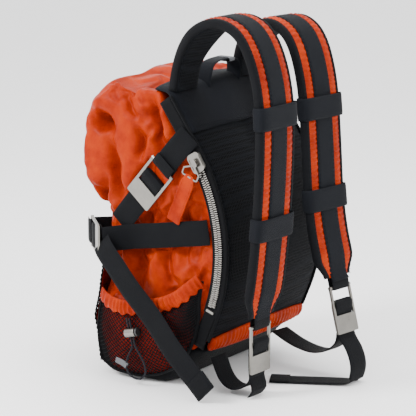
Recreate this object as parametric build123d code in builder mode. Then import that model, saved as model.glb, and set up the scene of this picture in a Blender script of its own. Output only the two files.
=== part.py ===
"""Travel backpack with a padded harness, standing on its base.

Millimetres, +Z up.  X runs across the bag, and the harness faces -Y.  The origin is on the
ground under the middle of the bag.  Sides are named as worn: the wearer stands at -Y and looks
along -Y, so the -X side is the right one.
"""
import os
from math import cos, pi, radians, sin, tan

from build123d import *

os.makedirs("parts", exist_ok=True)

# ---------------------------------------------------------------- driving dimensions
BAG_WIDTH = 264.0
HALF = BAG_WIDTH / 2
FABRIC = 3.0                 # panel fabric with its lining and seam allowance
WEBBING = 38.0               # width of the webbing
WEB_THICK = 2.2
GAP = 0.4                    # clearance between separate bodies
SEAM = 0.2                   # clearance between neighbours that are sewn together

# The back is an arc in the YZ plane that runs on as straight lines at both ends.
BACK_R = 270.0
BACK_Y = 152.0
BACK_Z = 215.0
BACK_TOP_ANGLE = 145.0
BACK_BOTTOM_ANGLE = 203.0
BACK_TOP_RUN = 95.0
BACK_BOTTOM_RUN = 52.0
YOKE_START = 32.0            # the yoke begins this far up the top run
BOTTOM_CORNER_R = 34.0       # round lower corners of the back

# Depth of each layer of the back, measured inward from the outside of the spacer mesh.
MESH_DEPTH = 5.0
FOAM_DEPTH = 9.0
SHEET_DEPTH = 2.0
SIDE_DEPTH = MESH_DEPTH + FOAM_DEPTH + SHEET_DEPTH + 0.5

# Front outline of the side panels in the YZ plane, from the top down to the ground.
FRONT_TOP = (120.0, 430.0)
FRONT = [FRONT_TOP, (146, 395), (146, 300), (112, 240), (112, 190), (124, 80), (116, 18), (88, 0)]
BASE_REAR = (-26.0, 0.0)     # the flat of the base ends here and the base rises to the back
BASE_RISE_TOP = 64.0         # height at which the base meets the back
BASE_BEND = 30.0
# The mouth is folded over and buckled down, which leaves a fat roll along the top.
ROLL_LINE = ((14, 440), (112, 424))
ROLL_THICK = 24.0
TRIM_LONG = 26.0             # orange strip along the foot of the back
TRIM_THICK = 3.8


# ---------------------------------------------------------------- helpers
def save(part, name):
    """Label a finished piece and write it as its own STEP file."""
    part.label = name
    export_step(part, f"parts/{name}.step")


def back_line(depth, top=BACK_TOP_RUN, bottom=BACK_BOTTOM_RUN):
    """Draw the back's line at a depth below its outer face, from the bottom end to the top."""
    r = BACK_R - depth
    size = BACK_BOTTOM_ANGLE - BACK_TOP_ANGLE
    arc = CenterArc((BACK_Y, BACK_Z), r, BACK_BOTTOM_ANGLE, -size)
    if bottom:
        Line(arc @ 0, (arc @ 0) - (arc % 0) * bottom)
    if top:
        Line(arc @ 1, (arc @ 1) + (arc % 1) * top)


def back_point(depth, run):
    """Point on the top run of the back, (y, z), at a distance above the arc's end."""
    a = radians(BACK_TOP_ANGLE)
    r = BACK_R - depth
    return (BACK_Y + r * cos(a) + run * sin(a), BACK_Z + r * sin(a) - run * cos(a))


def bottom_point(depth, run):
    """Point on the bottom run of the back, (y, z), at a distance below the arc's end."""
    a = radians(BACK_BOTTOM_ANGLE)
    r = BACK_R - depth
    return (BACK_Y + r * cos(a) - run * sin(a), BACK_Z + r * sin(a) + run * cos(a))


def band(name, plane, points, width, thickness, radius=12.0):
    """A strip of webbing: its edge line lies in the plane, its width along the plane's normal."""
    with BuildPart() as strip:
        with BuildSketch(plane):
            with BuildLine():
                if len(points) > 2:
                    FilletPolyline(*points, radius=radius)
                else:
                    Line(*points)
            trace(line_width=thickness)
        extrude(amount=width / 2, both=True)
    save(strip.part, name)


def across(name, points, thickness, half=HALF - FABRIC, radius=14.0):
    """A panel that spans the bag from side to side, seen as a line in the YZ plane."""
    band(name, Plane.YZ, points, 2 * half, thickness, radius)


# ---------------------------------------------------------------- bag body
def side_panels():
    """Flat right and left sides, which every other panel is sewn to."""
    for name, x in (("right_side_panel", -HALF), ("left_side_panel", HALF - FABRIC)):
        with BuildPart() as side:
            with BuildSketch(Plane.YZ.offset(x)):
                with BuildLine():
                    back_line(SIDE_DEPTH)
                    Polyline(back_point(SIDE_DEPTH, BACK_TOP_RUN), *FRONT, BASE_REAR,
                             bottom_point(SIDE_DEPTH, BACK_BOTTOM_RUN))
                make_face()
            extrude(amount=FABRIC)
        save(side.part, name)


def wrap_panels():
    """Front, top roll and base between the two sides."""
    inset = FABRIC / 2
    front = [(y - inset, z) for y, z in FRONT[1:-1]]
    across("front_panel", front, FABRIC)
    across("base_panel", [(y, z + inset) for y, z in (FRONT[-1], BASE_REAR)]
           + [(bottom_point(SIDE_DEPTH, BACK_BOTTOM_RUN)[0], BASE_RISE_TOP)], FABRIC, radius=BASE_BEND)
    with BuildPart() as roll:
        with BuildSketch(Plane.YZ):
            with BuildLine():
                Line(*ROLL_LINE)
            trace(line_width=ROLL_THICK)
        extrude(amount=HALF - FABRIC, both=True)
        fillet(roll.edges().filter_by(Axis.X), radius=ROLL_THICK * 0.375)
    save(roll.part, "top_roll")


def back_layers():
    """Spacer mesh, foam and frame sheet, stacked inward, with the yoke above the mesh."""
    depth = 0.0
    for name, thick in (("back_spacer_mesh", MESH_DEPTH), ("back_foam", FOAM_DEPTH),
                        ("frame_sheet", SHEET_DEPTH)):
        top = YOKE_START if name == "back_spacer_mesh" else BACK_TOP_RUN
        with BuildPart() as layer:
            with BuildSketch(Plane.YZ):
                with BuildLine():
                    back_line(depth + thick / 2, top=top)
                trace(line_width=thick)
            extrude(amount=HALF - 1, both=True)
            corners = layer.edges().filter_by(lambda edge: abs(edge.length - thick) < 0.01)
            fillet(corners.sort_by(Axis.Z)[:2], radius=BOTTOM_CORNER_R)
        save(layer.part, name)
        depth += thick


def yoke_and_trim():
    """Smooth yoke above the mesh, and the orange strip sewn along the foot of the back."""
    with BuildPart() as yoke:
        with BuildSketch(Plane.YZ):
            with BuildLine():
                Line(back_point(MESH_DEPTH / 2, YOKE_START + SEAM),
                     back_point(MESH_DEPTH / 2, BACK_TOP_RUN))
            trace(line_width=MESH_DEPTH)
        extrude(amount=HALF - 1, both=True)
    save(yoke.part, "yoke")

    with BuildPart() as trim:
        with BuildSketch(Plane.YZ):
            with BuildLine():
                outside = -TRIM_THICK / 2 - SEAM / 2
                Line(bottom_point(outside, BACK_BOTTOM_RUN - TRIM_LONG),
                     bottom_point(outside, BACK_BOTTOM_RUN))
            trace(line_width=TRIM_THICK)
        extrude(amount=HALF - BOTTOM_CORNER_R, both=True)
    save(trim.part, "bottom_trim")


# ---------------------------------------------------------------- mesh pockets
POCKET_STAND = 18.0          # how far a side pocket stands out from its side panel
POCKET_WALL = 2.0
# Open line of a side pocket's sewn edges in the YZ plane, from the zip side round to the front.
POCKET_EDGE = [(-68, 158), (-66, 112), (-50, 52), (20, 6), (84, 6), (108, 22), (116, 80), (100, 124)]
# Elastic hem across the pocket's mouth.
HEM = [(-72, 176), (-33, 141), (40, 114), (100, 126)]
HEM_WIDTH = 20.0
HEM_THICK = 11.8
FRONT_POCKET = [(115, 188), (133, 88), (124, 20), (98, 8)]
FRONT_POCKET_WALL = 2.4


def side_pocket(name, side):
    """A mesh wall held off the side panel by its gusset, open at the top."""
    outer = HALF + POCKET_STAND
    wall_start = -outer if side < 0 else outer - POCKET_WALL
    gusset_start = -outer + POCKET_WALL if side < 0 else HALF + SEAM
    with BuildPart() as pocket:
        with BuildSketch(Plane.YZ.offset(wall_start)):
            with BuildLine():
                Polyline(*POCKET_EDGE, *reversed(HEM[1:-1]), close=True)
            make_face()
        extrude(amount=POCKET_WALL)
        with BuildSketch(Plane.YZ.offset(gusset_start)):
            with BuildLine():
                Polyline(*POCKET_EDGE)
            trace(line_width=POCKET_WALL)
        extrude(amount=POCKET_STAND - POCKET_WALL - SEAM)
    save(pocket.part, name)


def pocket_hem(name, side):
    """The gathered elastic hem, a thick soft band on the outside of the mesh wall."""
    start = -HALF - POCKET_STAND - SEAM - HEM_THICK if side < 0 else HALF + POCKET_STAND + SEAM
    with BuildPart() as hem:
        with BuildSketch(Plane.YZ.offset(start)):
            with BuildLine():
                Polyline(*HEM)
            trace(line_width=HEM_WIDTH)
        extrude(amount=HEM_THICK)
    save(hem.part, name)


def front_pocket():
    """Mesh across the lower front, between the two sides."""
    with BuildPart() as pocket:
        with BuildSketch(Plane.YZ):
            with BuildLine():
                FilletPolyline(*FRONT_POCKET, radius=16)
            trace(line_width=FRONT_POCKET_WALL)
        extrude(amount=HALF - 6, both=True)
    save(pocket.part, "front_mesh_pocket")


# ---------------------------------------------------------------- side zip
ZIP_X = -HALF - SEAM         # outer face of the right side panel, where the tape lies
ZIP_R = BACK_R - 12          # radius of the chain's middle
ZIP_TOP = 147.0              # angle of the chain's upper end
ZIP_BOTTOM = 199.0
TAPE_WIDTH = 24.0
TAPE_THICK = 0.8
TOOTH_PITCH = 3.3
TOOTH_LONG = 5.4
TOOTH_THICK = 2.6
ROW_APART = 3.1              # from the chain's middle line to the middle of each row of teeth
STOP_SIZE = (4.0, 13.0, 3.4)
SLIDER_ANGLE = 148.5         # where the slider rests, at the top of the chain
SLIDER_LONG = 30.0
SLIDER_WIDE = 22.0
SLIDER_ROOF = 2.4            # thickness of the plate over the teeth
CHANNEL_WIDE = 13.6          # channel that the teeth run through
POST_R = 2.0                 # post on the slider that the ring's eye turns on


def zip_point(angle, radius=ZIP_R):
    """Point on the zip's arc in the YZ plane."""
    a = radians(angle)
    return (BACK_Y + radius * cos(a), BACK_Z + radius * sin(a))


def zip_plane(angle, x, radius=ZIP_R):
    """Plane on the zip facing outward: its x runs up along the chain, its z along -X."""
    y, z = zip_point(angle, radius)
    a = radians(angle)
    return Plane(origin=(x, y, z), x_dir=(0, sin(a), -cos(a)), z_dir=(-1, 0, 0))


def zip_chain():
    """Tape, two rows of teeth that mesh on the centre line, and the bottom stop."""
    with BuildPart() as tape:
        with BuildSketch(Plane.YZ.offset(ZIP_X - TAPE_THICK)):
            with BuildLine():
                CenterArc((BACK_Y, BACK_Z), ZIP_R, ZIP_TOP - 4, ZIP_BOTTOM - ZIP_TOP + 6)
            trace(line_width=TAPE_WIDTH)
        extrude(amount=TAPE_THICK)
    save(tape.part, "zip_tape")

    step = TOOTH_PITCH / radians(1) / ZIP_R
    count = int((ZIP_BOTTOM - ZIP_TOP) / step)
    rows = (("zip_teeth_rear", ROW_APART, 0.0), ("zip_teeth_front", -ROW_APART, 0.5))
    for name, across_chain, shift in rows:
        with BuildPart() as row:
            for tooth in range(count):
                plane = zip_plane(ZIP_TOP + (tooth + shift) * step, ZIP_X - TAPE_THICK,
                                  ZIP_R + across_chain)
                with BuildSketch(plane):
                    Rectangle(TOOTH_PITCH * 0.46, TOOTH_LONG)
                extrude(amount=TOOTH_THICK)
        save(row.part, name)

    with BuildPart() as stop:
        with BuildSketch(zip_plane(ZIP_BOTTOM + 0.6, ZIP_X - TAPE_THICK)):
            RectangleRounded(STOP_SIZE[0], STOP_SIZE[1], radius=1)
        extrude(amount=STOP_SIZE[2])
    save(stop.part, "zip_bottom_stop")


def zip_slider():
    """Slider body that straddles the chain, with a bail on top for the ring."""
    floor = ZIP_X - TAPE_THICK - GAP
    plane = zip_plane(SLIDER_ANGLE, floor)
    with BuildPart() as slider:
        with BuildSketch(plane):
            RectangleRounded(SLIDER_LONG, SLIDER_WIDE, radius=6)
        extrude(amount=TOOTH_THICK + GAP + SLIDER_ROOF)
        with BuildSketch(plane):
            Rectangle(SLIDER_LONG + 4, CHANNEL_WIDE)
        extrude(amount=TOOTH_THICK + GAP, mode=Mode.SUBTRACT)
        top = Plane(origin=plane.from_local_coords((0, 0, TOOTH_THICK + GAP + SLIDER_ROOF - 0.1)),
                    x_dir=plane.x_dir, z_dir=plane.z_dir)
        with BuildSketch(top):
            Circle(POST_R)
        extrude(amount=4.2)
        with BuildSketch(top.offset(4.1)):
            RectangleRounded(13, 8, radius=3)
        extrude(amount=1.6)
        with BuildSketch(top):
            with Locations((0, 9.4), (0, -9.4)):
                Rectangle(SLIDER_LONG - 12, 2)
        extrude(amount=0.9)
    save(slider.part, "zip_slider")


PULL_PLANE_X = ZIP_X - TAPE_THICK - GAP - TOOTH_THICK - GAP - SLIDER_ROOF
PULL_DIRECTION = -66.5       # degrees in the YZ plane, the way the pull hangs at rest
RING_REACH = 24.0            # from the post to the ring's lower bar
RING_WIRE = 2.2
RING_LIFT = 0.8              # the ring lies this far above the slider's roof
TAB_THICK = 2.6
TAB_LONG = 78.0
TAB_WIDTH = 24.0


def pull_plane(reach, lift):
    """Plane at a distance down the pull: its x points down the pull, its z along -X."""
    y, z = zip_point(SLIDER_ANGLE)
    a = radians(PULL_DIRECTION)
    down = (0, cos(a), sin(a))
    return Plane(origin=(PULL_PLANE_X - lift, y + reach * cos(a), z + reach * sin(a)),
                 x_dir=down, z_dir=(-1, 0, 0))


def zip_pull():
    """Wire ring with an eye around the slider's post, and the fabric tab sewn round its bar."""
    half = TAB_WIDTH / 2 + 2
    with BuildPart() as ring:
        with BuildSketch(pull_plane(0, RING_LIFT)):
            with BuildLine():
                FilletPolyline((4, 0), (14, half), (RING_REACH, half), (RING_REACH, -half),
                               (14, -half), radius=3)
                Line((14, -half), (4, 0))
            trace(line_width=RING_WIRE)
            Circle(POST_R + 2.6)
            Circle(POST_R + 0.4, mode=Mode.SUBTRACT)
        extrude(amount=RING_WIRE)
    save(ring.part, "zip_pull_ring")

    centre = pull_plane(RING_REACH, RING_LIFT + RING_WIRE / 2)
    side_view = Plane(origin=centre.origin, x_dir=centre.x_dir, z_dir=-centre.y_dir)
    with BuildPart() as tab:
        with BuildSketch(side_view):
            Circle(3.9)
            with Locations((TAB_LONG / 2, TAB_THICK)):
                Rectangle(TAB_LONG, TAB_THICK)
            Circle(RING_WIRE * 0.71 + 0.35, mode=Mode.SUBTRACT)
        extrude(amount=TAB_WIDTH / 2, both=True)
    save(tab.part, "zip_pull_tab")


# ---------------------------------------------------------------- ladder locks
LOCK_WIDTH = 48.0
LOCK_LONG = 71.0             # from the upper bar's axis to the end of the plate
LOCK_THICK = 3.0
BAR_R = 2.5
CROSS_Y = -24.0              # crossbar that the adjustable webbing turns over
PLATE_Y = -43.0              # upper edge of the solid plate
CROSS_WIDE = 4.0
WINDOW_WIDTH = 39.6
LOOP_END = -66.0             # where the webbing in the lock ends and the free webbing goes on
LOAD_DEPTH = -6.6            # the load run lies this far behind the lock's middle plane
TAIL_DEPTH = -3.2            # the tail run lies between it and the plate


def ladder_lock(name, frame):
    """A metal ladder lock.  The frame's x is the bar axis, y points up the strap, z outward."""
    with BuildPart() as lock:
        with BuildSketch(frame.offset(-LOCK_THICK / 2)):
            with Locations((0, -LOCK_LONG / 2)):
                RectangleRounded(LOCK_WIDTH, LOCK_LONG, radius=3)
            with Locations((0, PLATE_Y / 2 + 1)):
                Rectangle(WINDOW_WIDTH, -PLATE_Y + 2, mode=Mode.SUBTRACT)
            with Locations((0, CROSS_Y)):
                Rectangle(WINDOW_WIDTH + 1, CROSS_WIDE)
        extrude(amount=LOCK_THICK)
        side_view = Plane(origin=frame.origin, x_dir=frame.y_dir, z_dir=frame.x_dir)
        with BuildSketch(side_view):
            Circle(BAR_R)
        extrude(amount=LOCK_WIDTH / 2, both=True)
    save(lock.part, name)


def lock_webbing(name, frame, tail_end=LOOP_END):
    """The fixed loop round the upper bar, and the adjustable loop over the crossbar."""
    side_view = Plane(origin=frame.origin, x_dir=frame.y_dir, z_dir=frame.x_dir)
    reach = BAR_R + GAP + WEB_THICK / 2
    band(f"{name}_bar_loop", side_view, [(14, reach), (-reach, reach), (-reach, -reach), (14, -reach)],
         WEBBING, WEB_THICK, radius=reach - 0.05)
    front = LOCK_THICK / 2 + WEB_THICK / 2 + 0.5
    top = CROSS_Y + CROSS_WIDE / 2 + WEB_THICK / 2 + 0.6
    band(f"{name}_adjuster_loop", side_view,
         [(tail_end, TAIL_DEPTH), (PLATE_Y + 1, TAIL_DEPTH), (CROSS_Y - 7, front), (top, front),
          (top, LOAD_DEPTH), (LOOP_END, LOAD_DEPTH)], WEBBING, WEB_THICK, radius=2.2)


# ---------------------------------------------------------------- straps on the bag
DIAGONAL_TOP = (-49.0, 381.5)  # the diagonal webbing's middle line, (y, z)
DIAGONAL_FOOT = (69.0, 245.5)
DIAGONAL_LOCK = (-9.5, 336.0)  # upper bar of its lock, (y, z)
DIAGONAL_STAND = 8.0         # the lock's middle plane stands this far off the side
DIAGONAL_TAIL_END = -58.0
COMPRESSION_Z = 214.0
CORNER_Z = 216.0
CORNER_LOCK = (-113.0, 142.5)  # upper bar of the corner lock, (x, y)
RIGHT_RUN_START = 98.0       # y at which the right-hand run begins, behind the corner lock
RIGHT_RUN_STAND = 4.2
# The right-hand run climbs towards the back: (distance along it, offset outward is negative).
RIGHT_RUN = [(182, 0), (52, 0), (12, -19.5)]
# The front run seen from above, (x, y): left side, left corner, front, and out to the lock.
FRONT_RUN = [(HALF + 4, -86), (HALF + 4, 117), (-66, 117), (-98, 149)]
TAIL_START = (-167.0, 74.0, 198.0)
TAIL_RUN = [(0, 0), (120, 5), (262, 0)]


def unit(a, b):
    """Unit vector from a to b in a plane."""
    dx, dy = b[0] - a[0], b[1] - a[1]
    size = (dx * dx + dy * dy) ** 0.5
    return dx / size, dy / size


def diagonal_frame():
    """Frame of the ladder lock on the diagonal webbing."""
    dy, dz = unit(DIAGONAL_FOOT, DIAGONAL_TOP)
    return Plane(origin=(-HALF - DIAGONAL_STAND, *DIAGONAL_LOCK), x_dir=(0, -dz, dy), z_dir=(-1, 0, 0))


def side_strip(name, start, end, x, width=WEBBING):
    """Straight webbing that lies flat on the right side, its outer face at x."""
    with BuildPart() as strip:
        with BuildSketch(Plane.YZ.offset(x)):
            with BuildLine():
                Line(start, end)
            trace(line_width=width)
        extrude(amount=WEB_THICK)
    save(strip.part, name)


def side_straps():
    """Diagonal webbing above and below its lock."""
    frame = diagonal_frame()
    dy, dz = unit(DIAGONAL_FOOT, DIAGONAL_TOP)
    oy, oz = frame.origin.Y, frame.origin.Z

    def along(run):
        return (oy + dy * run, oz + dz * run)

    side_strip("diagonal_webbing_upper", along(15), along(50), -HALF - DIAGONAL_STAND - WEB_THICK / 2)
    side_strip("diagonal_webbing_lower", along(LOOP_END - 1), along(-118),
               -HALF - DIAGONAL_STAND - LOAD_DEPTH - WEB_THICK / 2)
    ladder_lock("diagonal_ladder_lock", frame)
    lock_webbing("diagonal", frame, tail_end=DIAGONAL_TAIL_END)


def corner_frame():
    """Frame of the ladder lock that closes the compression webbing at the front corner."""
    return Plane(origin=(*CORNER_LOCK, CORNER_Z), x_dir=(0, 0, 1), z_dir=(-1, 1, 0))


def compression_straps():
    """Webbing round the bag, its lock at the right front corner, and the tail that hangs from it."""
    slope = Plane(origin=(-HALF - RIGHT_RUN_STAND, RIGHT_RUN_START, CORNER_Z),
                  x_dir=(0, -0.986, 0.166), z_dir=(0, 0.166, 0.986))
    band("compression_webbing_right", slope, RIGHT_RUN, WEBBING, WEB_THICK)
    band("compression_webbing_front", Plane.XY.offset(COMPRESSION_Z), FRONT_RUN, WEBBING, WEB_THICK)
    frame = corner_frame()
    ladder_lock("corner_ladder_lock", frame)
    lock_webbing("corner", frame)
    hang = Plane(origin=TAIL_START, x_dir=(-0.03, -0.714, -0.70), z_dir=(0, 0.70, -0.714))
    band("compression_tail", hang, TAIL_RUN, WEBBING, WEB_THICK, radius=60)


# ---------------------------------------------------------------- harness
RIGHT_X = 96.0               # how far each strap is rooted from the middle of the back
LEFT_X = 71.0
STRAP_WIDTH = 76.0
PAD_THICK = 12.0
BINDING = 3.0
ROOT_WIDTH = 50.0
ROOT_THICK = 4.0
KEEPER_LONG = 34.0
KEEPERS = (("upper", 4, 0.45), ("lower", 5, 0.75))  # name, leg of the pad's outline, share of it
PAD_BEND = 45.0
STRAP_Y = -10.0
RIGHT_TURN = 3.0             # degrees that each strap is turned about its root
LEFT_TURN = 8.0
RIGHT_LEAN = 0.0             # degrees that each lock leans out at its foot
LEFT_LEAN = 15.0


# Outlines in each strap's own plane: distance out from the bag, height.
RIGHT_PAD = [(32, 520), (62, 550), (103, 560), (144, 539), (172, 466), (175, 372), (166, 225), (150, 127)]
RIGHT_LOCK = (149, 111)
RIGHT_LOAD = [(142.4, 44), (138, 20), (114, 7), (88, 16), (72, 52)]
RIGHT_TAIL = [(145.6, 44), (145.4, 33), (150, 16), (146, 3)]
LEFT_PAD = [(30, 510), (56, 533), (92, 541), (128, 519), (150, 455), (158, 370), (166, 250), (192, 161)]
LEFT_LOCK = (196.5, 146)
LEFT_LOAD = [(207.5, 79.5), (206, 60), (170, 36), (120, 40), (78, 56)]
LEFT_TAIL = [(210.6, 80.4), (213, 70), (228, 54), (237, 32), (235, 5)]
LEFT_TAIL_ON_FLOOR = [(40, -226), (-17, -120)]


def harness_plane(middle, turn):
    """Upright plane of the shoulder strap rooted at x = middle: its x runs outward, its y up."""
    a = radians(turn)
    return Plane(origin=(middle, STRAP_Y, 0), x_dir=(-sin(a), -cos(a), 0), z_dir=(-cos(a), sin(a), 0))


def shifted(points, distance):
    """A polyline moved sideways by a distance, to its left as it runs."""
    out = []
    for i, (x, y) in enumerate(points):
        before = unit(points[max(i - 1, 0)], points[max(i, 1)])
        after = unit(points[min(i, len(points) - 2)], points[min(i + 1, len(points) - 1)])
        nx, ny = -(before[1] + after[1]), before[0] + after[0]
        scale = distance / (nx * -after[1] + ny * after[0])
        out.append((x + nx * scale, y + ny * scale))
    return out


def shoulder_strap(name, middle, turn, pad, lock_at, lean):
    """One strap: root, pad, webbing, bindings and keepers, down to its ladder lock."""
    plane = harness_plane(middle, turn)
    dx, dy = unit(pad[0], pad[1])
    root = [(6, 449.5), (12, 486), (pad[0][0] - 2 * dx, pad[0][1] - 2 * dy)]
    band(f"{name}_strap_root", plane, root, ROOT_WIDTH, ROOT_THICK)
    band(f"{name}_strap_pad", plane, pad, STRAP_WIDTH, PAD_THICK, radius=PAD_BEND)
    over = shifted(pad, PAD_THICK / 2 + SEAM + WEB_THICK / 2)
    band(f"{name}_strap_webbing", plane, over, WEBBING, WEB_THICK, radius=PAD_BEND)
    with BuildPart() as binding:
        for edge in (-1, 1):
            centre = edge * (STRAP_WIDTH / 2 + 0.1 + BINDING / 2)
            with BuildSketch(plane.offset(centre - BINDING / 2)):
                with BuildLine():
                    FilletPolyline(*pad, radius=PAD_BEND)
                trace(line_width=PAD_THICK + 1)
            extrude(amount=BINDING)
    save(binding.part, f"{name}_strap_bindings")
    for keeper, first, share in KEEPERS:
        (x0, y0), (x1, y1) = pad[first], pad[first + 1]
        dx, dy = unit(pad[first], pad[first + 1])
        at = plane.from_local_coords((x0 + (x1 - x0) * share, y0 + (y1 - y0) * share))
        run = plane.x_dir * dx + plane.y_dir * dy
        ring = Plane(origin=at, x_dir=plane.z_dir, z_dir=run)
        inner_wide = STRAP_WIDTH + 2 * BINDING + 1
        inner_thick = PAD_THICK + 1 + 0.6 + WEB_THICK + 0.4
        with BuildPart() as loop:
            with BuildSketch(ring):
                with Locations((0, -1.3)):
                    RectangleRounded(inner_wide + 2 * WEB_THICK, inner_thick + 2 * WEB_THICK, radius=4)
                    RectangleRounded(inner_wide, inner_thick, radius=0.6, mode=Mode.SUBTRACT)
            extrude(amount=KEEPER_LONG / 2, both=True)
        save(loop.part, f"{name}_{keeper}_keeper")
    a = radians(lean)
    out = plane.x_dir * cos(a) + Vector(0, 0, 1) * sin(a)
    frame = Plane(origin=plane.from_local_coords(lock_at), x_dir=-plane.z_dir, z_dir=out)
    ladder_lock(f"{name}_ladder_lock", frame)
    lock_webbing(name, frame)


def lower_webbing(name, plane, load, tail, floor_end=None):
    """Webbing below a shoulder strap's lock: the run to the bag's corner and the free tail."""
    with BuildPart() as webbing:
        for points in (load, tail):
            with BuildSketch(plane):
                with BuildLine():
                    FilletPolyline(*points, radius=9)
                trace(line_width=WEB_THICK)
            extrude(amount=WEBBING / 2, both=True)
        if floor_end:
            with BuildSketch(Plane.XY):
                with BuildLine():
                    Line(*floor_end)
                trace(line_width=WEBBING)
            extrude(amount=WEB_THICK)
    save(webbing.part, f"{name}_lower_webbing")


HAUL_Y = -16.0
HAUL_TOP = 480.0
HAUL_WIDE = 25.0
HAUL_THICK = 3.0
HAUL_KEEPER = (6.0, 14.0)    # where the keeper starts along x, and its length


def haul_loop():
    """Grab handle between the strap roots, and the keeper stitched round it."""
    middle = Plane.XZ.offset(-HAUL_Y)
    band("haul_loop", middle, [(-40, 449.8), (-33, HAUL_TOP), (33, HAUL_TOP), (40, 449.8)],
         HAUL_WIDE, HAUL_THICK)
    with BuildPart() as keeper:
        with BuildSketch(Plane.YZ.offset(HAUL_KEEPER[0])):
            with Locations((HAUL_Y, HAUL_TOP)):
                Rectangle(HAUL_WIDE + 5, HAUL_THICK + 5)
                Rectangle(HAUL_WIDE + 0.6, HAUL_THICK + 0.6, mode=Mode.SUBTRACT)
        extrude(amount=HAUL_KEEPER[1])
    save(keeper.part, "haul_keeper")


# ---------------------------------------------------------------- elastic cord and its lock
CORD_D = 3.0
CORD_X = -158.0
STRAND_GAP = 5.0             # between the middles of the two strands in the lock
# The cord's route in the YZ plane: out of the hem, through the lock, round the loop and back.
CORD_ROUTE = [(45.5, 103.0), (34.2, 59.5), (45, 40.5), (47.5, 24), (37, 11.5), (20, 10), (9, 22),
              (13.5, 40), (29.2, 59.5), (40.5, 103.0)]
LOCK_R = 7.0
LOCK_LONG_BARREL = 18.0
PRESS = 1.5                  # travel of the plunger
BORE_R = 5.0
EYE = (9.4, 4.0)             # slot through the barrel for both strands
TAB_AT = (56.0, 32.0)
TAB_SIZE = (20.0, 11.0, 4.4)


def cord_radii(route):
    """Arc radius at each corner: 0.45 of the shorter run over the tangent of half the turn."""
    radii = []
    for before, here, after in zip(route, route[1:], route[2:]):
        arriving = Vector(*here) - Vector(*before)
        leaving = Vector(*after) - Vector(*here)
        turn = arriving.get_angle(leaving)
        shorter = min(arriving.length, leaving.length)
        radii.append(0.45 * shorter / tan(radians(turn / 2)))
    return radii


def elastic_cord():
    """The hem's elastic cord as a tube, with the fabric tab on its loop."""
    radii = cord_radii(CORD_ROUTE)
    print("cord radii", [round(r, 1) for r in radii])
    plane = Plane.YZ.offset(CORD_X)
    with BuildPart() as cord:
        with BuildLine(plane) as route:
            FilletPolyline(*CORD_ROUTE, radius=radii)
        length = route.wires()[0].length
        with BuildSketch(Plane(origin=route.line @ 0, z_dir=route.line % 0)):
            Circle(CORD_D / 2)
        sweep()
    print("cord length", round(length, 1), "volume over section times length",
          round(cord.part.volume / (pi * CORD_D ** 2 / 4 * length), 4))
    save(cord.part, "elastic_cord")
    with BuildPart() as tab:
        with BuildSketch(Plane.YZ.offset(CORD_X - TAB_SIZE[2] / 2)):
            with Locations(TAB_AT):
                RectangleRounded(TAB_SIZE[0], TAB_SIZE[1], radius=1.5)
        extrude(amount=TAB_SIZE[2])
    save(tab.part, "cord_end_tab")


def cord_lock():
    """Barrel that slides on both strands, with a sprung plunger across them."""
    (y0, z0), (y1, z1) = CORD_ROUTE[0], CORD_ROUTE[1]
    dy, dz = unit((y1, z1), (y0, z0))
    middle = ((y0 + y1) / 2 - STRAND_GAP / 2, (z0 + z1) / 2)
    # x runs up the strands, y is the barrel's axis towards the plunger's cap, z points along -X.
    axis = Vector(0, dz, -dy) * -1
    end = Plane(origin=(CORD_X, middle[0], middle[1]), x_dir=(0, dy, dz), z_dir=axis)
    half = LOCK_LONG_BARREL / 2
    with BuildPart() as barrel:
        with BuildSketch(end.offset(-half)):
            Circle(LOCK_R)
        extrude(amount=LOCK_LONG_BARREL)
        fillet(barrel.edges(), radius=1)
        with BuildSketch(end.offset(half)):
            Circle(BORE_R)
        extrude(amount=-LOCK_LONG_BARREL + 2, mode=Mode.SUBTRACT)
        across_strands = Plane(origin=end.origin, x_dir=end.z_dir, z_dir=end.x_dir)
        with BuildSketch(across_strands):
            SlotOverall(*EYE)
        extrude(amount=LOCK_R + 2, both=True, mode=Mode.SUBTRACT)
    save(barrel.part, "cord_lock_barrel")

    stem = LOCK_LONG_BARREL - 5.5
    with BuildPart() as plunger:
        with BuildSketch(end.offset(half + PRESS + 0.6)):
            Circle(BORE_R - 0.2)
        extrude(amount=-stem - PRESS)
        with BuildSketch(end.offset(half + PRESS + 0.5)):
            Circle(LOCK_R - 0.4)
        extrude(amount=3)
        with BuildSketch(Plane(origin=end.origin + end.z_dir * (PRESS / 2),
                               x_dir=end.z_dir, z_dir=end.x_dir)):
            SlotOverall(EYE[0] + PRESS + 0.6, EYE[1])
        extrude(amount=LOCK_R + 2, both=True, mode=Mode.SUBTRACT)
    save(plunger.part, "cord_lock_plunger")

    with BuildPart() as spring:
        floor = end.offset(-half + 2.15)
        with BuildSketch(floor):
            Circle(3.6)
            Circle(2.6, mode=Mode.SUBTRACT)
        extrude(amount=0.9)
    save(spring.part, "cord_lock_spring")


side_panels()
wrap_panels()
back_layers()
yoke_and_trim()
for pocket_side, pocket_name in ((-1, "right"), (1, "left")):
    side_pocket(f"{pocket_name}_mesh_pocket", pocket_side)
    pocket_hem(f"{pocket_name}_pocket_hem", pocket_side)
front_pocket()
zip_chain()
zip_slider()
zip_pull()
side_straps()
compression_straps()
shoulder_strap("right", -RIGHT_X, RIGHT_TURN, RIGHT_PAD, RIGHT_LOCK, RIGHT_LEAN)
shoulder_strap("left", LEFT_X, LEFT_TURN, LEFT_PAD, LEFT_LOCK, LEFT_LEAN)
lower_webbing("right", harness_plane(-RIGHT_X, RIGHT_TURN), RIGHT_LOAD, RIGHT_TAIL)
lower_webbing("left", harness_plane(LEFT_X, LEFT_TURN), LEFT_LOAD, LEFT_TAIL, LEFT_TAIL_ON_FLOOR)
haul_loop()
elastic_cord()
cord_lock()
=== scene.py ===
"""Looks of the travel backpack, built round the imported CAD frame.  Metres, +Z up, harness at -Y."""
import math

import bmesh
import bpy
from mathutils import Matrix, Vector, noise


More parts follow.
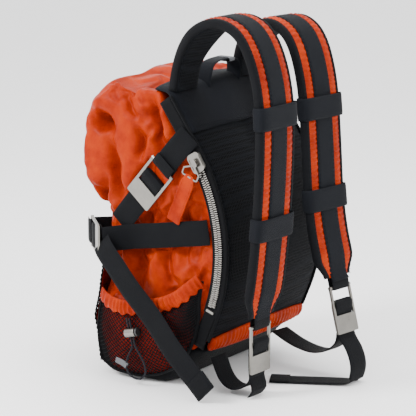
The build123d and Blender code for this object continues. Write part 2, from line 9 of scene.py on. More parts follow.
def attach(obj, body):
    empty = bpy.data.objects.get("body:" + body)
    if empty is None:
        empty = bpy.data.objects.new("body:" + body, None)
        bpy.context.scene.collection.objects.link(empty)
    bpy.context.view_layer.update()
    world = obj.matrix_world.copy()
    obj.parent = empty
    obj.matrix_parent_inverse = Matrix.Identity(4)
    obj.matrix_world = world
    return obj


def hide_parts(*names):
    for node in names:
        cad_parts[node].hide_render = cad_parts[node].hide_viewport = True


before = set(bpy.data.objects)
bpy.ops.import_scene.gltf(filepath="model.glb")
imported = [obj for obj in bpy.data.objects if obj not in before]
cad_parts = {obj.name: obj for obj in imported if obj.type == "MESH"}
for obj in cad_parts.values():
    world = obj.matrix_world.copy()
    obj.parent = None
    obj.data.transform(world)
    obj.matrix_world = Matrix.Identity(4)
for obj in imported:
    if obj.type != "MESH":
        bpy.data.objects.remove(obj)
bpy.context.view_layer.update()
MM = 0.001
WEBBING = 0.038   # width of the flat straps, which sets the scale of the whole bag

# ---------------------------------------------------------------- camera
CAMERA_AZIMUTH = math.radians(-55.4)
CAMERA_ELEVATION = math.radians(12.6)
CAMERA_DISTANCE = 3.4
CAMERA_TARGET = Vector((-0.004, 0.003, 0.249))
CAMERA_LENS = 192.0


def make_camera():
    """A long lens off the bag's right rear corner, looking a little down."""
    back = Vector((math.sin(CAMERA_AZIMUTH) * math.cos(CAMERA_ELEVATION),
                   -math.cos(CAMERA_AZIMUTH) * math.cos(CAMERA_ELEVATION),
                   math.sin(CAMERA_ELEVATION)))
    data = bpy.data.cameras.new("camera")
    data.lens = CAMERA_LENS
    data.sensor_width = 36.0
    camera = bpy.data.objects.new("camera", data)
    camera.location = CAMERA_TARGET + back * CAMERA_DISTANCE
    camera.rotation_euler = back.to_track_quat("Z", "Y").to_euler()
    bpy.context.scene.collection.objects.link(camera)
    bpy.context.scene.camera = camera


# ---------------------------------------------------------------- materials
def new_material(name, base, rough, metal=0.0):
    """A principled material with its main values set; returns (material, tree, shader)."""
    mat = bpy.data.materials.new(name)
    mat.use_nodes = True
    shader = mat.node_tree.nodes["Principled BSDF"]
    shader.inputs["Base Color"].default_value = (*base, 1.0)
    shader.inputs["Roughness"].default_value = rough
    shader.inputs["Metallic"].default_value = metal
    return mat, mat.node_tree, shader


def coordinates(tree, scale=(1, 1, 1), uv=False):
    """Object coordinates, or the strip's own (across, along) coordinates, times a scale."""
    if uv:
        source = tree.nodes.new("ShaderNodeUVMap")
        source.uv_map = "run"
        out = source.outputs["UV"]
    else:
        out = tree.nodes.new("ShaderNodeTexCoord").outputs["Object"]
    mapping = tree.nodes.new("ShaderNodeMapping")
    mapping.inputs["Scale"].default_value = scale
    tree.links.new(out, mapping.inputs["Vector"])
    return mapping.outputs["Vector"]


def noise_node(tree, vector, scale, detail=3.0, rough=0.5):
    """Noise on a vector."""
    node = tree.nodes.new("ShaderNodeTexNoise")
    node.inputs["Scale"].default_value = scale
    node.inputs["Detail"].default_value = detail
    node.inputs["Roughness"].default_value = rough
    tree.links.new(vector, node.inputs["Vector"])
    return node.outputs["Fac"]


def wave_node(tree, vector, direction, scale, distortion=0.0):
    """Bands across a vector's direction."""
    node = tree.nodes.new("ShaderNodeTexWave")
    node.bands_direction = direction
    node.inputs["Scale"].default_value = scale
    node.inputs["Distortion"].default_value = distortion
    node.inputs["Detail"].default_value = 1.0
    tree.links.new(vector, node.inputs["Vector"])
    return node.outputs["Fac"]


def math_node(tree, operation, a, b):
    """One operation on two values, each a number or a socket."""
    node = tree.nodes.new("ShaderNodeMath")
    node.operation = operation
    for socket, value in zip(node.inputs, (a, b)):
        if isinstance(value, (int, float)):
            socket.default_value = value
        else:
            tree.links.new(value, socket)
    return node.outputs[0]


def weighted(tree, *parts):
    """The sum of (value, weight) parts, each value times its weight."""
    (value, weight), *rest = parts
    term = math_node(tree, "MULTIPLY", value, weight)
    return math_node(tree, "ADD", term, weighted(tree, *rest)) if rest else term


def ramp(tree, factor, stops):
    """A colour ramp from (position, colour) stops."""
    node = tree.nodes.new("ShaderNodeValToRGB")
    elements = node.color_ramp.elements
    while len(elements) < len(stops):
        elements.new(0.5)
    for element, (position, colour) in zip(elements, stops):
        element.position = position
        element.color = (*colour, 1.0)
    tree.links.new(factor, node.inputs["Fac"])
    return node.outputs["Color"]


def bump(tree, shader, height, strength, distance, before=None):
    """A bump from a height, over an earlier bump if there is one."""
    node = tree.nodes.new("ShaderNodeBump")
    node.inputs["Strength"].default_value = strength
    node.inputs["Distance"].default_value = distance
    tree.links.new(height, node.inputs["Height"])
    if before is not None:
        tree.links.new(before, node.inputs["Normal"])
    tree.links.new(node.outputs["Normal"], shader.inputs["Normal"])
    return node.outputs["Normal"]


def nylon(name, dark, mid, light, rough=0.42):
    """Crinkled nylon taffeta: fine creases and a tight plain weave, with little shine. The colour follows the
    crease relief from dark to light, which is painted shade in the crease valleys and painted light on the
    crests, mixed with random patches of tone.
    """
    mat, tree, shader = new_material(name, mid, rough)
    where = coordinates(tree)
    creases = noise_node(tree, where, 38, 6, 0.62)
    patches = noise_node(tree, where, 9, 3, 0.5)
    # painted shade and light: the crease relief that makes the bump also darkens the valleys and lightens the
    # crests in the colour; the patches are random tone
    crease_shade_and_tone = weighted(tree, (creases, 0.6), (patches, 0.4))
    tree.links.new(ramp(tree, crease_shade_and_tone, ((0.33, dark), (0.5, mid), (0.68, light))),
              shader.inputs["Base Color"])
    tree.links.new(math_node(tree, "ADD", math_node(tree, "MULTIPLY", creases, 0.3), rough - 0.15),
              shader.inputs["Roughness"])
    weave = math_node(tree, "MULTIPLY",
                      wave_node(tree, coordinates(tree), "Z", 520),
                      wave_node(tree, coordinates(tree), "DIAGONAL", 520))
    first = bump(tree, shader, creases, 0.55, 0.0022)
    bump(tree, shader, weave, 0.22, 0.0003, first)
    shader.inputs["Specular IOR Level"].default_value = 0.06
    return mat


def webbing_material(name, dark, light, ribs=420.0, rough=0.68):
    """Woven webbing: fine ribs across the strip crossed by a twill, with fuzz and worn patches. The rib and
    twill relief also sets the colour, darker in its grooves and lighter on its tops, which is painted shade
    and painted light; the fuzz and worn patches are random tone.
    """
    mat, tree, shader = new_material(name, dark, rough)
    along = coordinates(tree, uv=True)
    rib = wave_node(tree, along, "Y", ribs, 0.4)
    twill = wave_node(tree, along, "DIAGONAL", ribs * 0.8, 0.2)
    weave = math_node(tree, "MULTIPLY", rib, twill)
    fuzz = noise_node(tree, along, 900, 2, 0.6)
    wear = noise_node(tree, along, 30, 4, 0.6)
    # partly painted light: the weave term darkens the grooves as painted shade and lightens the rib tops;
    # fuzz and wear are random tone
    shade = weighted(tree, (weave, 0.45), (fuzz, 0.35), (wear, 0.25))
    tree.links.new(ramp(tree, shade, ((0.2, dark), (0.85, light))), shader.inputs["Base Color"])
    first = bump(tree, shader, weave, 0.5, 0.0006)
    bump(tree, shader, fuzz, 0.25, 0.0003, first)
    shader.inputs["Sheen Weight"].default_value = 0.015
    shader.inputs["Specular IOR Level"].default_value = 0.07
    return mat


def plain_fabric(name, dark, light, scale=700.0, rough=0.75, sheen=0.02):
    """Smooth tightly woven cloth, coloured by object coordinates."""
    mat, tree, shader = new_material(name, dark, rough)
    where = coordinates(tree)
    weave = math_node(tree, "MULTIPLY", wave_node(tree, where, "Z", scale),
                      wave_node(tree, where, "X", scale))
    cloudy = noise_node(tree, where, 14, 5, 0.6)
    fine = noise_node(tree, where, 420, 3, 0.6)
    shade = weighted(tree, (cloudy, 0.55), (fine, 0.45))
    tree.links.new(ramp(tree, shade, ((0.3, dark), (0.7, light))), shader.inputs["Base Color"])
    first = bump(tree, shader, cloudy, 0.2, 0.003)
    bump(tree, shader, weave, 0.35, 0.0004, first)
    shader.inputs["Sheen Weight"].default_value = sheen
    shader.inputs["Specular IOR Level"].default_value = 0.07
    return mat


def spacer_mesh_material(name):
    """Open 3-D spacer mesh: rows of small cells between raised threads, with painted shade: the cells are
    coloured darker than the threads, as shade in the mesh's holes.
    """
    mat, tree, shader = new_material(name, (0.004, 0.0045, 0.006), 0.75)
    where = coordinates(tree, (1.0, 0.55, 0.8))
    cells = tree.nodes.new("ShaderNodeTexVoronoi")
    cells.feature = "DISTANCE_TO_EDGE"
    cells.inputs["Scale"].default_value = 260
    cells.inputs["Randomness"].default_value = 0.12
    tree.links.new(where, cells.inputs["Vector"])
    edge = cells.outputs["Distance"]
    fuzz = noise_node(tree, where, 600, 3, 0.6)
    # painted shade: the colour darkens from the raised threads into the cells, standing in for shade in the
    # holes
    thread_and_cell_shade = ramp(tree, edge, ((0.05, (0.0050, 0.0057, 0.0075)), (0.28, (0.0005, 0.0005, 0.0006))))
    tree.links.new(thread_and_cell_shade, shader.inputs["Base Color"])
    height = math_node(tree, "SUBTRACT", 0.5, math_node(tree, "MINIMUM", edge, 0.4))
    first = bump(tree, shader, height, 1.0, 0.0024)
    bump(tree, shader, fuzz, 0.15, 0.0004, first)
    shader.inputs["Specular IOR Level"].default_value = 0.06
    return mat


def satin_metal(name, base=(0.23, 0.22, 0.20), rough=0.30):
    """Brushed, nickel-plated zinc with faint scratches and duller patches."""
    mat, tree, shader = new_material(name, base, rough, 1.0)
    grain = noise_node(tree, coordinates(tree, (40, 40, 900)), 4, 4, 0.6)
    patches = noise_node(tree, coordinates(tree), 70, 4, 0.6)
    tree.links.new(ramp(tree, patches, ((0.3, tuple(c * 0.82 for c in base)), (0.7, base))),
              shader.inputs["Base Color"])
    blend = weighted(tree, (grain, 0.12), (patches, 0.14))
    tree.links.new(math_node(tree, "ADD", blend, rough - 0.12), shader.inputs["Roughness"])
    bump(tree, shader, grain, 0.12, 0.0002)
    return mat


def plastic(name, base, rough=0.45):
    """Moulded plastic with a fine spark-eroded texture."""
    mat, tree, shader = new_material(name, base, rough)
    texture = noise_node(tree, coordinates(tree), 900, 2, 0.5)
    tree.links.new(ramp(tree, texture, ((0.3, base), (0.8, tuple(c * 1.5 + 0.004 for c in base)))),
              shader.inputs["Base Color"])
    bump(tree, shader, texture, 0.25, 0.0003)
    return mat


MATERIALS = {
    # The orange and lining nylons: their dark and light stops are painted crease shade and painted crest
    # light around the mid colour.
    "orange": nylon("orange_nylon", (0.14, 0.0050, 0.0000), (0.250, 0.0150, 0.0000), (0.33, 0.0270, 0.0001)),
    "lining": nylon("lining_red", (0.06, 0.0024, 0.0012), (0.15, 0.006, 0.002), (0.24, 0.011, 0.0034), 0.6),
    # The webbing colours: their dark end is partly painted shade in the weave's grooves.
    "webbing": webbing_material("black_webbing", (0.0006, 0.0007, 0.0010), (0.0055, 0.0062, 0.0084)),
    "keeper": webbing_material("keeper_webbing", (0.0010, 0.0013, 0.0022), (0.0082, 0.0098, 0.0140), 520.0),
    "yoke": plain_fabric("yoke_fabric", (0.0022, 0.0026, 0.0042), (0.0046, 0.0054, 0.0080)),
    "black": plain_fabric("black_fabric", (0.0008, 0.0009, 0.0012), (0.0028, 0.0030, 0.0039)),
    "net": plain_fabric("pocket_net", (0.0011, 0.0011, 0.0014), (0.0040, 0.0042, 0.0052), 900.0),
    "spacer": spacer_mesh_material("spacer_mesh"),
    "metal": satin_metal("satin_metal"),
    "teeth": satin_metal("zip_metal", (0.28, 0.265, 0.245), 0.26),
    "grey": plain_fabric("grey_tape", (0.06, 0.063, 0.068), (0.12, 0.123, 0.132)),
    "plastic": plastic("black_plastic", (0.004, 0.004, 0.0045)),
    "elastic": plain_fabric("elastic_cord_cover", (0.003, 0.003, 0.004), (0.016, 0.016, 0.020), 1400.0),
}


# ---------------------------------------------------------------- mesh helpers
def link(name, mesh, material, body="bag", smooth=True):
    """Turn a mesh into a piece that rides on a body and takes the named finish from MATERIALS."""
    piece = bpy.data.objects.new(name, mesh)
    bpy.context.scene.collection.objects.link(piece)
    mesh.materials.append(MATERIALS[material])
    if smooth:
        for polygon in mesh.polygons:
            polygon.use_smooth = True
    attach(piece, body)
    return piece


def to_mesh(bm, name):
    """Write a bmesh out as a named mesh and free it."""
    mesh = bpy.data.meshes.new(name)
    bm.to_mesh(mesh)
    bm.free()
    return mesh


def skin(bm, rings, closed=False):
    """Quads between neighbouring rings, with the ends capped, or joined to each other when closed."""
    pairs = list(zip(rings, rings[1:]))
    if closed:
        pairs.append((rings[-1], rings[0]))
    for first, second in pairs:
        for k in range(len(first)):
            j = (k + 1) % len(first)
            bm.faces.new((first[k], first[j], second[j], second[k]))
    if not closed:
        bm.faces.new(list(reversed(rings[0])))
        bm.faces.new(rings[-1])


def modifier(piece, kind, **values):
    """Add a modifier with its values set."""
    mod = piece.modifiers.new(kind.lower(), kind)
    for key, value in values.items():
        setattr(mod, key, value)
    return mod


def smooth_line(points, step=0.006, rounds=4):
    """A corner-cut polyline that follows the control points, sampled at even steps."""
    line = [Vector(p) for p in points]
    for _ in range(rounds):
        cut = [line[0]]
        for a, b in zip(line, line[1:]):
            cut += [a * 0.75 + b * 0.25, a * 0.25 + b * 0.75]
        line = cut + [line[-1]]
    total = sum((b - a).length for a, b in zip(line, line[1:]))
    count = max(int(total / step), 2)
    out, run, index = [line[0]], 0.0, 0
    for k in range(1, count):
        want = total * k / count
        while run + (line[index + 1] - line[index]).length < want:
            run += (line[index + 1] - line[index]).length
            index += 1
        seg = line[index + 1] - line[index]
        out.append(line[index] + seg * ((want - run) / seg.length))
    return out + [line[-1]]


def sections(line, wide):
    """(point, across, outward, run) along a line; wide is a direction or a function of the share."""
    out, run = [], 0.0
    for i, p in enumerate(line):
        before, after = line[max(i - 1, 0)], line[min(i + 1, len(line) - 1)]
        tangent = (after - before).normalized()
        share = i / (len(line) - 1)
        across = Vector(wide(share)) if callable(wide) else Vector(wide)
        across = (across - tangent * across.dot(tangent)).normalized()
        if i:
            run += (p - line[i - 1]).length
        out.append((p, across, tangent.cross(across), run))
    return out


def loft(name, line, wide, profile, material, body="bag", closed=False):
    """Sweep a profile along a line.  profile(share, run) gives (across, outward) points of a ring."""
    bm = bmesh.new()
    uv = bm.loops.layers.uv.new("run")
    rings, places = [], {}
    cuts = sections(line, wide)
    for i, (p, across, outward, run) in enumerate(cuts):
        ring = []
        for a, b in profile(i / (len(cuts) - 1), run):
            vert = bm.verts.new(p + across * a + outward * b)
            places[vert] = (a, run)
            ring.append(vert)
        rings.append(ring)
    skin(bm, rings, closed)
    for face in bm.faces:
        for loop in face.loops:
            loop[uv].uv = places[loop.vert]
    bmesh.ops.recalc_face_normals(bm, faces=bm.faces)
    return link(name, to_mesh(bm, name), material, body)


def turn(count):
    """Angles evenly round a full turn."""
    return [2 * math.pi * k / count for k in range(count)]


def squared(value, power):
    """A sine or cosine pushed outward, so that a ring of them is a rounded rectangle."""
    return math.copysign(abs(value) ** power, value)


def flat_profile(width, thick, crown=0.0, edge=0.25, columns=8):
    """A webbing section: flat faces, thinned edges and, if asked for, a crown."""
    half = width / 2
    xs = [-half + width * k / columns for k in range(columns + 1)]

    def face(x, sign):
        share = edge if abs(x) > half * 0.99 else 1.0
        return x, sign * thick / 2 * share + crown * (1 - (x / half) ** 2)

    return [face(x, 1) for x in xs] + [face(x, -1) for x in reversed(xs)]


def ribbon(name, points, wide, width, material="webbing", body="bag", thick=0.0022, wave=0.0, seed=0.0):
    """Webbing along control points, with a slight lazy wave along it if asked for."""
    line = smooth_line(points)

    def profile(share, run):
        lift = wave * math.sin(run * 55 + seed) * math.sin(math.pi * share)
        return [(a, b + lift) for a, b in flat_profile(width, thick)]

    piece = loft(name, line, wide, profile, material, body)
    modifier(piece, "BEVEL", width=0.0004, segments=2, limit_method="ANGLE")
    return piece


STITCH_LONG, STITCH_RADIUS = 0.0021, 0.0005


def stitches(name, line, offset, spacing=0.0034, body="bag", material="black"):
    """Thread stitches on a line's (point, across, outward, run) sections.

    All the stitches due by a section lie on its point, so where sections are wider apart than the
    spacing, or the line starts late in its run, some lie on top of each other.
    """
    bm = bmesh.new()
    next_at = spacing
    for p, across, outward, run in line:
        while run >= next_at:
            next_at += spacing
            centre = p + across * offset[0] + outward * offset[1]
            along = across.cross(outward)
            tips = [bm.verts.new(centre + along * (STITCH_LONG / 2 * s) - outward * STITCH_RADIUS)
                    for s in (-1, 1)]
            middle = [bm.verts.new(centre + d * STITCH_RADIUS) for d in (across, outward, -across, -outward)]
            for k in range(4):
                bm.faces.new((tips[1], middle[k], middle[(k + 1) % 4]))
                bm.faces.new((tips[0], middle[(k + 1) % 4], middle[k]))
    return link(name, to_mesh(bm, name), material, body, smooth=False)


def grid_surface(name, columns, rows, place, material):
    """A sheet of quads on the bag: place(u, v) gives each corner for u and v from 0 to 1."""
    bm = bmesh.new()
    uv = bm.loops.layers.uv.new("run")
    verts = [[bm.verts.new(place(i / columns, j / rows)) for j in range(rows + 1)]
             for i in range(columns + 1)]
    for i in range(columns):
        for j in range(rows):
            face = bm.faces.new((verts[i][j], verts[i + 1][j], verts[i + 1][j + 1], verts[i][j + 1]))
            for loop, (u, v) in zip(face.loops, ((i, j), (i + 1, j), (i + 1, j + 1), (i, j + 1))):
                loop[uv].uv = (u / columns, v / rows)
    return link(name, to_mesh(bm, name), material, "bag")


# ---------------------------------------------------------------- elastic cord (with the camera, first)
CORD_X = -0.158
CORD_D = 0.003
# The second and last but one points only keep the strands straight inside the cord lock.
CORD_ROUTE = ((45.5, 103.0), (35.9, 66.0), (34.2, 59.5), (45, 40.5), (47.5, 24), (37, 11.5),
              (20, 10), (9, 22), (13.5, 40), (29.2, 59.5), (30.9, 66.0), (40.5, 103.0))


def elastic_cord():
    """Limp elastic: out of the hem, through the lock, round a loop and back into the hem."""
    curve = bpy.data.curves.new("elastic_cord_line", "CURVE")
    curve.dimensions = "3D"
    curve.bevel_depth = CORD_D / 2
    curve.bevel_resolution = 5
    curve.use_fill_caps = True
    spline = curve.splines.new("NURBS")
    spline.points.add(len(CORD_ROUTE) - 1)
    for point, (y, z) in zip(spline.points, CORD_ROUTE):
        point.co = (CORD_X, y * MM, z * MM, 1)
    spline.order_u = 3
    spline.use_endpoint_u = True
    spline.resolution_u = 12
    curve.materials.append(MATERIALS["elastic"])
    cord = bpy.data.objects.new("elastic_cord_line", curve)
    bpy.context.scene.collection.objects.link(cord)
    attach(cord, "bag")
    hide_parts("elastic_cord")

    line = smooth_line([(CORD_X, 0.0455, 0.028), (CORD_X, 0.0535, 0.0315), (CORD_X, 0.066, 0.0345)], 0.002)

    def profile(share, run):
        thick = 0.0052 - 0.0024 * min(share * 2.2, 1)
        return flat_profile(0.0100 - 0.0008 * share, thick, 0.0004)

    tab = loft("cord_tab", line, (0, -0.35, 1), profile, "grey")
    modifier(tab, "BEVEL", width=0.0006, segments=2, limit_method="ANGLE")
    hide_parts("cord_end_tab")


# ---------------------------------------------------------------- shape of the bag
HALF = 0.132
BACK_R, BACK_Y, BACK_Z = 0.270, 0.152, 0.215
BACK_TOP, BACK_BOTTOM = math.radians(145), math.radians(203)
FRONT = ((0.446, 0.108), (0.430, 0.134), (0.395, 0.150), (0.300, 0.150), (0.240, 0.118), (0.190, 0.114),
         (0.080, 0.124), (0.018, 0.116), (0.0, 0.090))


def lerp(a, b, t):
    return a + (b - a) * t


def smoothstep(low, high, x):
    t = min(max((x - low) / (high - low), 0.0), 1.0)
    return t * t * (3 - 2 * t)


def front_y(z):
    """Front of the bag at a height, between the outline's points."""
    for (z0, y0), (z1, y1) in zip(FRONT, FRONT[1:]):
        if z >= z1:
            return lerp(y1, y0, min((z - z1) / (z0 - z1), 1.0))
    return FRONT[-1][1]


def back_y(z, depth=0.0):
    """Y of the back at a height, at a depth below the outside of the spacer mesh."""
    r = BACK_R - depth
    top, low = BACK_Z + r * math.sin(BACK_TOP), BACK_Z + r * math.sin(BACK_BOTTOM)
    if z > top:
        return BACK_Y + r * math.cos(BACK_TOP) - (z - top) * math.tan(BACK_TOP)
    if z < low:
        return BACK_Y + r * math.cos(BACK_BOTTOM) + (low - z) * math.tan(BACK_BOTTOM)
    return BACK_Y - math.sqrt(r * r - (z - BACK_Z) ** 2)


# ---------------------------------------------------------------- orange body
VOXEL = 0.0046
SIDE_FREE = 0.130     # folds lie free up to here; past it they are pressed under the webbing
SIDE_ROOM = 0.007     # how far past it they may still stand out
BELT_Z = 0.222        # height of the compression strap, which holds the cloth in


def body_section(z):
    """Closed ring of the soft body at a height: rear right corner, forward, across, and back."""
    rear, front = back_y(z, 0.019), front_y(z) - 0.004
    side = HALF - 0.005
    corner = 0.020 + 0.018 * smoothstep(0.30, 0.43, z)
    side -= 0.004 * math.exp(-((z - BELT_Z) / 0.028) ** 2)
    ring = []
    for sign in (-1, 1):
        xs = []
        for k in range(7):
            a = math.pi / 2 * k / 6
            xs.append((sign * (side - corner + corner * math.cos(a)), front - corner + corner * math.sin(a)))
        part = [(sign * side, rear), (sign * side, lerp(rear, front - corner, 0.5))] + xs
        ring += part if sign < 0 else list(reversed(part))
    return [Vector((x, y, z)) for x, y in ring]


def orange_body():
    """Crinkled nylon shell: lofted, remeshed, let out as cloth until it buckles into folds."""
    heights = [0.030, 0.070, 0.11, 0.15, 0.19, 0.215, 0.24, 0.27, 0.31, 0.35, 0.39, 0.418, 0.438]
    bm = bmesh.new()
    rings = [[bm.verts.new(p) for p in body_section(z)] for z in heights]
    crown = []
    for vert in rings[-1]:
        x, y, z = vert.co
        crown.append(bm.verts.new((x * 0.955, lerp(y, 0.055, 0.12), z + 0.007)))
    rings.append(crown)
    skin(bm, rings)
    bmesh.ops.recalc_face_normals(bm, faces=bm.faces)
    body = link("orange_body", to_mesh(bm, "orange_body"), "orange")
    modifier(body, "SUBSURF", levels=1, subdivision_type="SIMPLE")
    modifier(body, "REMESH", mode="VOXEL", voxel_size=VOXEL, use_smooth_shade=True)
    bake(body)
    sculpt_folds(body.data, 0.7)
    crinkle(body, pinned=body_pins, shrink=-0.13, pressure=0.15, frames=22, cap=0.012)
    sculpt_folds(body.data, 0.6)
    for vert in body.data.vertices:
        over = abs(vert.co.x) - SIDE_FREE
        if over > 0:
            vert.co.x = math.copysign(SIDE_FREE + SIDE_ROOM * (1 - math.exp(-over / SIDE_ROOM)), vert.co.x)
    modifier(body, "SUBSURF", levels=1, render_levels=1)
    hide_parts("right_side_panel", "left_side_panel", "front_panel", "top_roll")


def bake(piece):
    """Apply every modifier of a piece to its mesh."""
    depsgraph = bpy.context.evaluated_depsgraph_get()
    mesh = bpy.data.meshes.new_from_object(piece.evaluated_get(depsgraph))
    piece.modifiers.clear()
    old = piece.data
    piece.data = mesh
    bpy.data.meshes.remove(old)
    for polygon in mesh.polygons:
        polygon.use_smooth = True


def fold(p, a, b, width, depth):
    """Depth of a crease that runs from a to b, seen in the YZ plane, at the point p."""
    ay, az = a
    by, bz = b
    dy, dz = by - ay, bz - az
    t = min(max(((p.y - ay) * dy + (p.z - az) * dz) / (dy * dy + dz * dz), 0.0), 1.0)
    gap = math.hypot(p.y - ay - t * dy, p.z - az - t * dz)
    return depth * math.exp(-(gap / width) ** 2) * math.sin(math.pi * min(max(t, 0.08), 0.92))


# Creases on the sides in the YZ plane: (from, to, width, depth); a positive depth is a ridge.
SIDE_FOLDS = (
    ((0.092, 0.385), (0.074, 0.250), 0.010, -0.024),
    ((0.122, 0.394), (0.088, 0.384), 0.010, -0.030),
    ((0.128, 0.418), (0.080, 0.412), 0.010, 0.014),
    ((0.118, 0.370), (0.122, 0.260), 0.014, 0.014),
    ((0.066, 0.396), (0.056, 0.280), 0.012, 0.014),
    ((0.044, 0.400), (0.034, 0.330), 0.007, -0.018),
    ((0.022, 0.436), (-0.004, 0.350), 0.008, -0.018),
    ((0.002, 0.425), (-0.018, 0.370), 0.008, 0.010),
    ((-0.012, 0.430), (-0.036, 0.380), 0.006, -0.018),
    ((0.074, 0.432), (0.036, 0.402), 0.007, -0.015),
    ((0.104, 0.330), (0.112, 0.262), 0.006, -0.018),
    ((0.010, 0.350), (0.040, 0.300), 0.007, -0.014),
    ((0.128, 0.310), (0.104, 0.250), 0.010, -0.020),
    ((0.040, 0.310), (0.066, 0.246), 0.010, -0.014),
    ((0.016, 0.270), (0.040, 0.236), 0.008, -0.010),
    ((0.004, 0.215), (-0.022, 0.150), 0.010, -0.012),
    ((0.048, 0.215), (0.036, 0.130), 0.010, -0.012),
    ((0.086, 0.215), (0.094, 0.130), 0.010, -0.012),
    ((0.066, 0.212), (0.064, 0.130), 0.010, 0.008),
)


def sculpt_folds(mesh, share):
    """Large folds: valleys and ridges on both sides, slack cloth along the front and an uneven top."""
    for vert in mesh.vertices:
        p = vert.co
        side = smoothstep(HALF - 0.040, HALF - 0.020, abs(p.x))
        if side > 0:
            bent = Vector((p.x, p.y + 0.007 * noise.noise(p * 31), p.z + 0.007 * noise.noise(p * 27)))
            lift = sum(fold(bent, *crease) for crease in SIDE_FOLDS)
            wobble = noise.noise(Vector((p.x * 3, p.y * 34, p.z * 20))) * 0.006
            wobble -= abs(noise.noise(Vector((p.x * 3, p.y * 60 + 4, p.z * 34)))) * 0.006
            p.x += (lift + wobble) * side * share * (1 if p.x > 0 else -1)
        front = smoothstep(0.085, 0.105, p.y) * smoothstep(0.10, 0.24, p.z)
        if front > 0:
            slack = noise.noise(Vector((p.x * 16, 5.0, p.z * 9))) * 0.008
            p.y += slack * front * share
        top = smoothstep(0.425, 0.440, p.z)
        if top > 0:
            p.z += noise.noise(Vector((p.x * 14, p.y * 20, 2.0))) * 0.007 * top * share


def body_pins(p):
    """How firmly a point of the orange body is held: along the back, the foot and the strap line."""
    rear = 1 - smoothstep(0.010, 0.030, p.y - back_y(p.z, 0.019))
    foot = 1 - smoothstep(0.078, 0.10, p.z)
    belt = math.exp(-((p.z - BELT_Z - 0.08 * (0.05 - p.y) * (p.x < 0)) / 0.016) ** 2)
    return min(max(rear, foot, belt * 0.8), 1.0)


def crinkle(piece, pinned, shrink, pressure, frames, cap):
    """Cloth simulation: the cloth is let out by -shrink and puffed, then the result is applied."""
    rest = [v.co.copy() for v in piece.data.vertices]
    group = piece.vertex_groups.new(name="pins")
    for vert in piece.data.vertices:
        group.add([vert.index], pinned(vert.co), "REPLACE")
    cloth = piece.modifiers.new("cloth", "CLOTH")
    settings = cloth.settings
    settings.quality = 4
    settings.mass = 0.12
    settings.tension_stiffness = 18
    settings.compression_stiffness = 18
    settings.shear_stiffness = 6
    settings.bending_stiffness = 0.05
    settings.shrink_min = shrink
    settings.shrink_max = shrink
    settings.vertex_group_mass = "pins"
    settings.pin_stiffness = 1.0
    settings.use_pressure = True
    settings.uniform_pressure_force = pressure
    settings.effector_weights.gravity = 0.0
    cloth.collision_settings.use_collision = False
    cloth.point_cache.frame_start = 1
    cloth.point_cache.frame_end = frames
    scene = bpy.context.scene
    for number in range(1, frames + 1):
        scene.frame_set(number)
    bake(piece)
    for vert, start in zip(piece.data.vertices, rest):
        move = vert.co - start
        if move.length > cap:
            vert.co = start + move * (cap / move.length)
    scene.frame_set(1)


# ---------------------------------------------------------------- base and back
def base_shell():
    """Soft black base: a rounded tray with slightly dented sides."""
    bm = bmesh.new()
    rings = []
    for z, inset in ((0.0006, 0.010), (0.003, 0.004), (0.010, 0.001), (0.035, 0.0), (0.064, 0.0)):
        rear, front = lerp(-0.010, -0.079, z / 0.064), lerp(0.092, 0.120, min(z / 0.03, 1))
        ring = []
        for a in turn(48):
            c, s = math.cos(a), math.sin(a)
            x = squared(c, 0.22) * (0.1295 - inset)
            y = lerp(rear + inset, front - inset, 0.5 + 0.5 * squared(s, 0.22))
            ring.append(bm.verts.new((x, y, z)))
        rings.append(ring)
    skin(bm, rings)
    shell = link("base_shell", to_mesh(bm, "base_shell"), "black")
    modifier(shell, "REMESH", mode="VOXEL", voxel_size=0.005, use_smooth_shade=True)
    bake(shell)
    for vert in shell.data.vertices:
        lift = smoothstep(0.004, 0.02, vert.co.z)
        dent = noise.noise(vert.co * 24) * 0.003 * lift
        vert.co.x -= dent * (1 if vert.co.x > 0 else -1)
    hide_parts("base_panel")


def back_line(depth, first, last, x=0.0):
    """The back's line at a depth between two heights, at one x."""
    heights = [lerp(first, last, k / 60) for k in range(61)]
    return [Vector((x, back_y(z, depth), z)) for z in heights]


